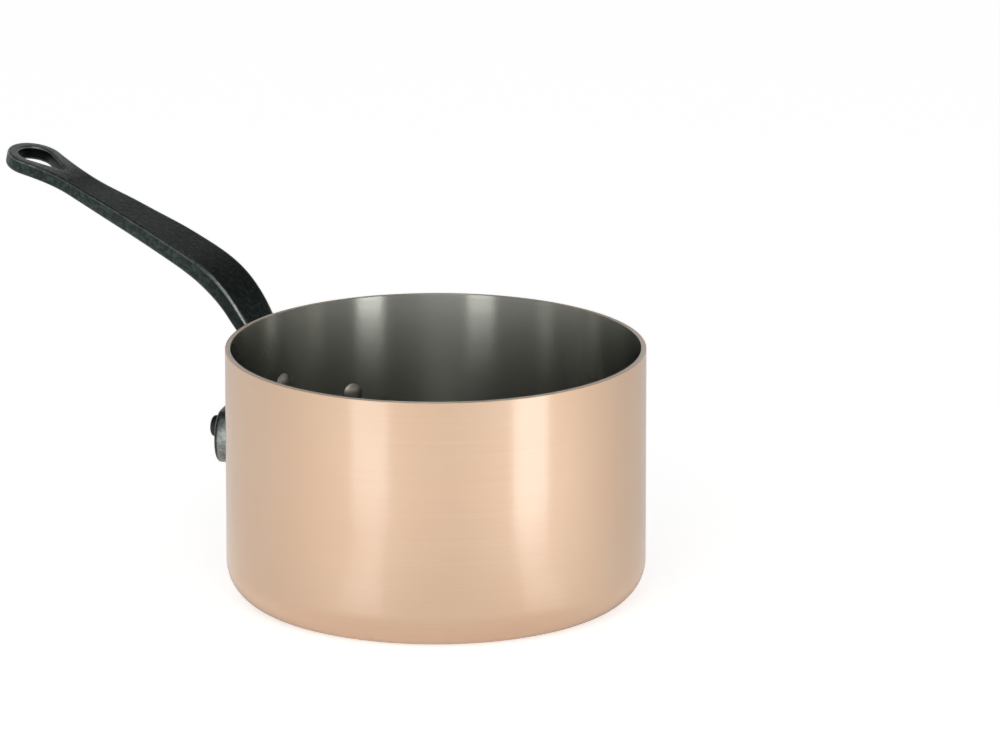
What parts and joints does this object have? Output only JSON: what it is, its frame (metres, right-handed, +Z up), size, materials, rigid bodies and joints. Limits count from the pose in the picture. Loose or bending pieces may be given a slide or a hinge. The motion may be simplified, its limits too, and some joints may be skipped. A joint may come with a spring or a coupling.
{
  "type": "saucepan",
  "caption": "Straight-sided copper saucepan with a stainless lining and a long cast-iron handle, riveted on, that rises from the wall and ends in a hanging eye.",
  "frame": {"origin": "centre of the base's underside, where the pan stands", "axes": "+Z up along the pan's axis, +X from the pan's axis out along the handle"},
  "size_m": [0.384, 0.205, 0.181],
  "materials": {
    "brushed_copper": "copper, brushed to a soft satin round the wall",
    "brushed_stainless": "stainless steel, brushed round and round",
    "cast_iron": "blackened, fine grained, satin",
    "rivet_steel": "plain steel, hammered smooth"
  },
  "bodies": {
    "root": {"copper_shell": "brushed_copper", "steel_lining": "brushed_stainless", "handle": "cast_iron", "rivet_left": "rivet_steel", "rivet_middle": "rivet_steel", "rivet_right": "rivet_steel"}
  },
  "joints": []
}
